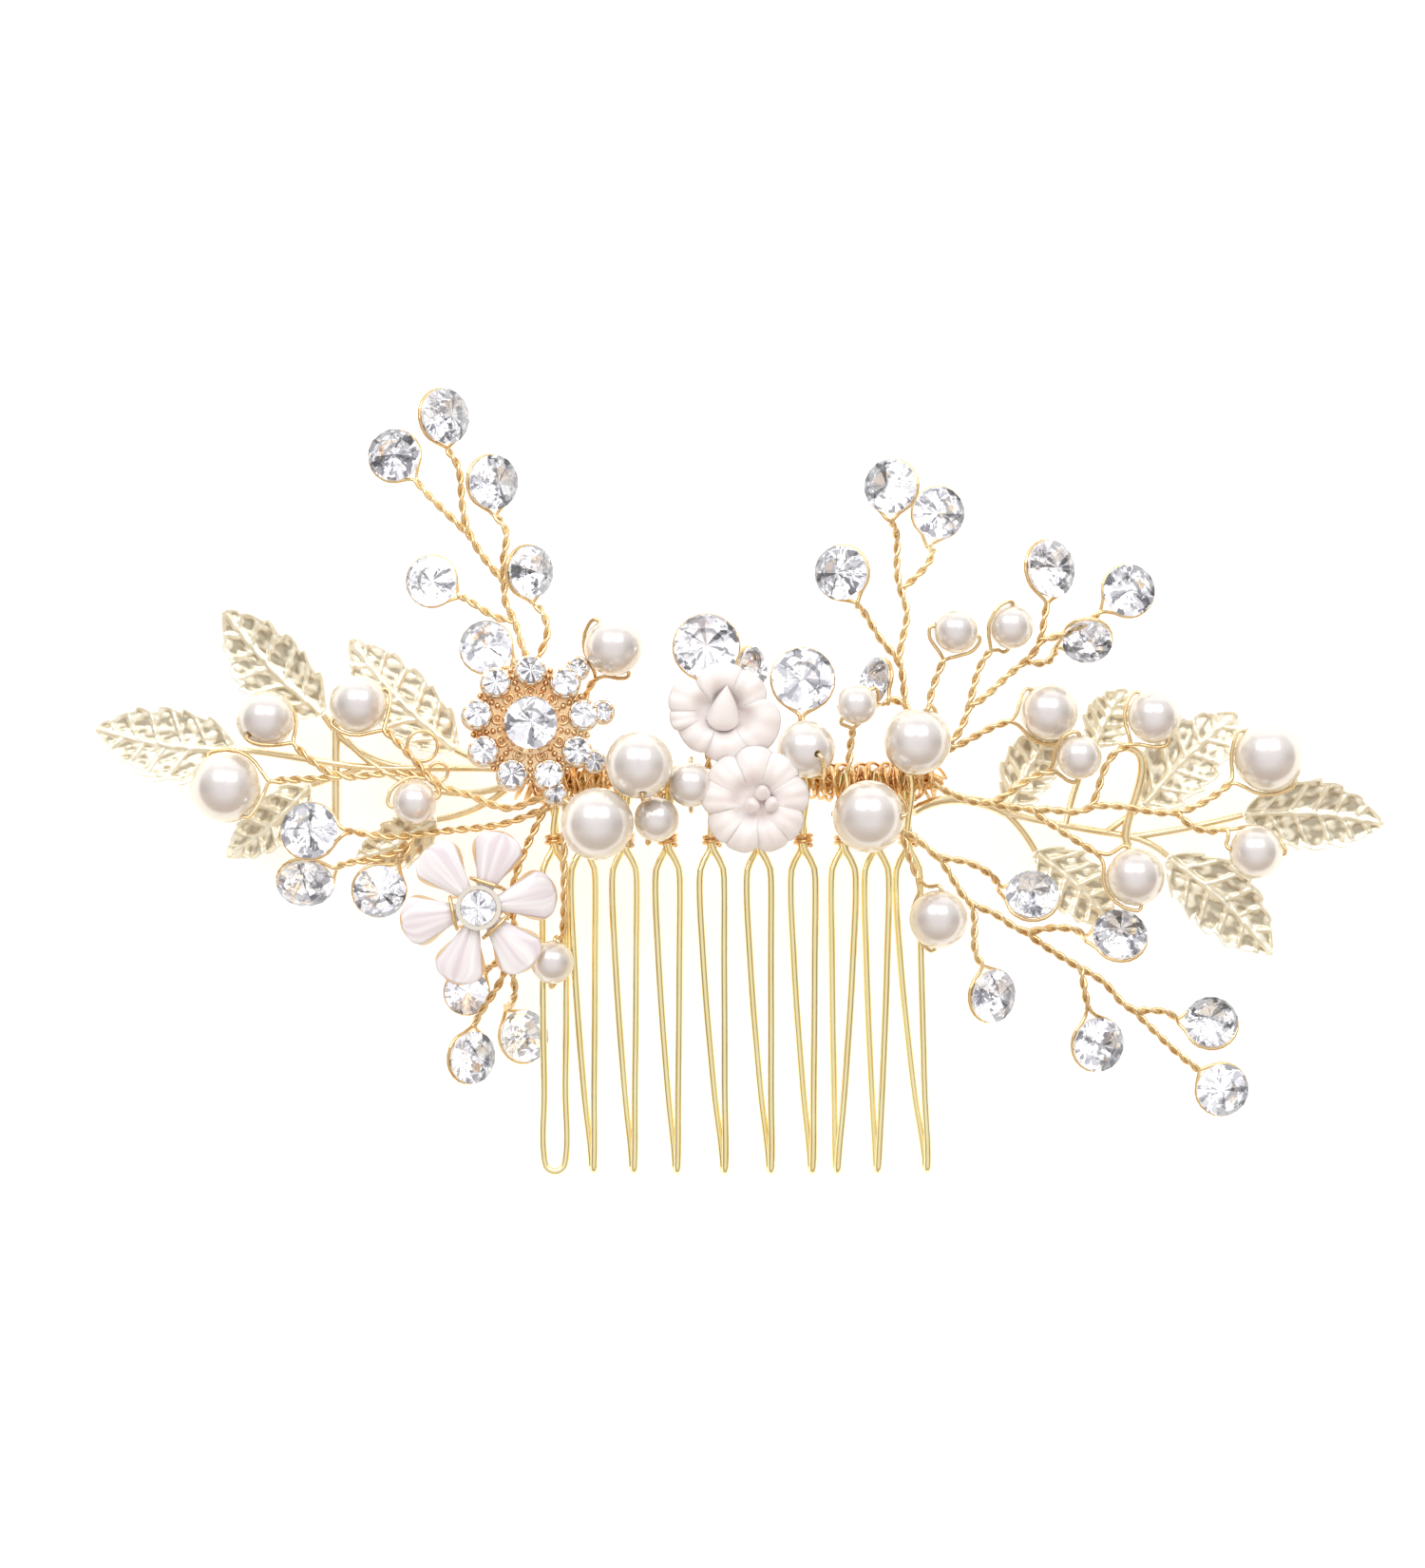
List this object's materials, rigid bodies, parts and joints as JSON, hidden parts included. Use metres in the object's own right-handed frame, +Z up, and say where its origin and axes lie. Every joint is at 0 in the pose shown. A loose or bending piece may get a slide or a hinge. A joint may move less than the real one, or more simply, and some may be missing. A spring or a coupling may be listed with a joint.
{
  "type": "decorative hair comb",
  "caption": "Wire hair comb with hairpin teeth and a bowed spine carrying twisted wire sprigs of pearls, faceted crystals, stamped leaves and flowers.",
  "frame": {"origin": "middle of the bowed spine, where its centre line crosses the plane between the two middle teeth", "axes": "+X along the spine towards the viewer's right, +Z up away from the teeth, -Y out of the show side"},
  "size_m": [0.1446, 0.0271, 0.0877],
  "materials": {
    "comb_wire": "pale gold plated, polished",
    "sprig_wire": "warm gold, twisted, bright",
    "leaf_metal": "stamped, pale gold, satin with bright veins",
    "pearl": "cream pearl coating, soft double highlight",
    "crystal": "clear faceted, mirror backed",
    "crystal_cup": "pressed, bright gold",
    "clay": "matte white, hand formed",
    "shell": "pearly streaked inlay, glossy",
    "cast_gold": "cast, warm gold, fine filigree",
    "brooch_stone": "clear faceted rhinestones"
  },
  "bodies": {
    "root": {"bar_bead_wires": "sprig_wire", "binding_wire": "sprig_wire", "brooch_base": "cast_gold", "brooch_stones": "brooch_stone", "centre_crystal_wires": "sprig_wire", "centre_crystals": "crystal", "comb_teeth": "comb_wire", "crystal_cups": "crystal_cup", "flower_shanks": "sprig_wire", "jump_rings": "sprig_wire", "leaf_stems_left": "leaf_metal", "leaf_stems_right": "leaf_metal", "leaves_left": "leaf_metal", "leaves_right": "leaf_metal", "left_crystal_wire": "sprig_wire", "left_crystals": "crystal", "left_pearl_wire": "sprig_wire", "lower_clay_flower": "clay", "lower_left_crystals": "crystal", "lower_left_sprig_wire": "sprig_wire", "lower_right_crystals": "crystal", "lower_right_sprig_wire": "sprig_wire", "neck_ties": "sprig_wire", "ornament_ties": "sprig_wire", "right_pearl_wire": "sprig_wire", "shell_flower_base": "cast_gold", "shell_flower_petals": "shell", "shell_flower_ring": "cast_gold", "shell_flower_stone": "brooch_stone", "spine_wire": "comb_wire", "top_left_crystals": "crystal", "top_left_sprig_wire": "sprig_wire", "top_right_crystals": "crystal", "top_right_sprig_wire": "sprig_wire", "upper_clay_flower": "clay", "upper_right_crystals": "crystal", "upper_right_sprig_wire": "sprig_wire"},
    "pearl_01": {"pearl_01": "pearl"},
    "pearl_02": {"pearl_02": "pearl"},
    "pearl_03": {"pearl_03": "pearl"},
    "pearl_04": {"pearl_04": "pearl"},
    "pearl_05": {"pearl_05": "pearl"},
    "pearl_06": {"pearl_06": "pearl"},
    "pearl_07": {"pearl_07": "pearl"},
    "pearl_08": {"pearl_08": "pearl"},
    "pearl_09": {"pearl_09": "pearl"},
    "pearl_10": {"pearl_10": "pearl"},
    "pearl_11": {"pearl_11": "pearl"},
    "pearl_12": {"pearl_12": "pearl"},
    "pearl_13": {"pearl_13": "pearl"},
    "pearl_14": {"pearl_14": "pearl"},
    "pearl_15": {"pearl_15": "pearl"},
    "pearl_16": {"pearl_16": "pearl"},
    "pearl_17": {"pearl_17": "pearl"},
    "pearl_18": {"pearl_18": "pearl"},
    "pearl_19": {"pearl_19": "pearl"},
    "pearl_20": {"pearl_20": "pearl"},
    "pearl_21": {"pearl_21": "pearl"},
    "pearl_22": {"pearl_22": "pearl"},
    "pearl_23": {"pearl_23": "pearl"}
  },
  "joints": [
    {"name": "pearl_01_spin", "type": "hinge", "parent": "root", "child": "pearl_01", "pos_m": [-0.0526, 0.00947, 0.0069], "axis": [-0.5599, -0.6108, -0.5599], "continuous": true},
    {"name": "pearl_02_spin", "type": "hinge", "parent": "root", "child": "pearl_02", "pos_m": [-0.0421, 0.00808, 0.0086], "axis": [0.8619, 0, 0.507], "continuous": true},
    {"name": "pearl_03_spin", "type": "hinge", "parent": "root", "child": "pearl_03", "pos_m": [-0.057, 0.00891, -0.0007], "axis": [0.5051, -0.303, -0.8081], "continuous": true},
    {"name": "pearl_04_spin", "type": "hinge", "parent": "root", "child": "pearl_04", "pos_m": [-0.0357, 0.00505, -0.0024], "axis": [0.9806, 0, 0.1961], "continuous": true},
    {"name": "pearl_05_spin", "type": "hinge", "parent": "root", "child": "pearl_05", "pos_m": [-0.0135, 0.00046, 0.0149], "axis": [-0.5044, -0.1009, 0.8575], "continuous": true},
    {"name": "pearl_06_spin", "type": "hinge", "parent": "root", "child": "pearl_06", "pos_m": [-0.0106, -0.00752, 0.0018], "axis": [0.1009, -0.5044, -0.8575], "continuous": true},
    {"name": "pearl_07_spin", "type": "hinge", "parent": "root", "child": "pearl_07", "pos_m": [-0.0152, -0.00801, -0.0047], "axis": [0.8131, 0, -0.5822], "continuous": true},
    {"name": "pearl_08_spin", "type": "hinge", "parent": "root", "child": "pearl_08", "pos_m": [-0.0087, -0.00471, -0.0042], "axis": [0.2996, -0.0999, 0.9488], "continuous": true},
    {"name": "pearl_09_spin", "type": "hinge", "parent": "root", "child": "pearl_09", "pos_m": [-0.0049, -0.00531, -0.0004], "axis": [0, 0, 1], "continuous": true},
    {"name": "pearl_10_spin", "type": "hinge", "parent": "root", "child": "pearl_10", "pos_m": [-0.0203, 0.00067, -0.0201], "axis": [0.099, -0.099, 0.9901], "continuous": true},
    {"name": "pearl_11_spin", "type": "hinge", "parent": "root", "child": "pearl_11", "pos_m": [0.0078, -0.00418, 0.0035], "axis": [0.4236, -0.8875, -0.1815], "continuous": true},
    {"name": "pearl_12_spin", "type": "hinge", "parent": "root", "child": "pearl_12", "pos_m": [0.0134, -0.00307, 0.0085], "axis": [0.7071, 0, 0.7071], "continuous": true},
    {"name": "pearl_13_spin", "type": "hinge", "parent": "root", "child": "pearl_13", "pos_m": [0.0201, -0.00229, 0.0044], "axis": [0.3015, -0.3015, 0.9045], "continuous": true},
    {"name": "pearl_14_spin", "type": "hinge", "parent": "root", "child": "pearl_14", "pos_m": [0.0147, -0.00414, -0.0039], "axis": [0.9138, -0.4061, 0], "continuous": true},
    {"name": "pearl_15_spin", "type": "hinge", "parent": "root", "child": "pearl_15", "pos_m": [0.0245, 0.00288, 0.0167], "axis": [-0.954, -0.212, 0.212], "continuous": true},
    {"name": "pearl_16_spin", "type": "hinge", "parent": "root", "child": "pearl_16", "pos_m": [0.0307, 0.0044, 0.0172], "axis": [0.0999, -0.2996, 0.9488], "continuous": true},
    {"name": "pearl_17_spin", "type": "hinge", "parent": "root", "child": "pearl_17", "pos_m": [0.035, 0.00711, 0.0077], "axis": [-0.6116, -0.2039, 0.7645], "continuous": true},
    {"name": "pearl_18_spin", "type": "hinge", "parent": "root", "child": "pearl_18", "pos_m": [0.0383, 0.00434, 0.0027], "axis": [0, -0.3011, 0.9536], "continuous": true},
    {"name": "pearl_19_spin", "type": "hinge", "parent": "root", "child": "pearl_19", "pos_m": [0.0468, 0.00726, 0.0072], "axis": [0.5044, -0.1009, -0.8575], "continuous": true},
    {"name": "pearl_20_spin", "type": "hinge", "parent": "root", "child": "pearl_20", "pos_m": [0.0597, 0.00915, 0.0028], "axis": [-0.6931, -0.198, 0.6931], "continuous": true},
    {"name": "pearl_21_spin", "type": "hinge", "parent": "root", "child": "pearl_21", "pos_m": [0.0582, 0.00802, -0.0079], "axis": [-0.9734, -0.2049, 0.1025], "continuous": true},
    {"name": "pearl_22_spin", "type": "hinge", "parent": "root", "child": "pearl_22", "pos_m": [0.0446, 0.00546, -0.0107], "axis": [0.2049, -0.1025, -0.9734], "continuous": true},
    {"name": "pearl_23_spin", "type": "hinge", "parent": "root", "child": "pearl_23", "pos_m": [0.0225, -0.00004, -0.0153], "axis": [0.1005, -0.2009, 0.9744], "continuous": true}
  ]
}
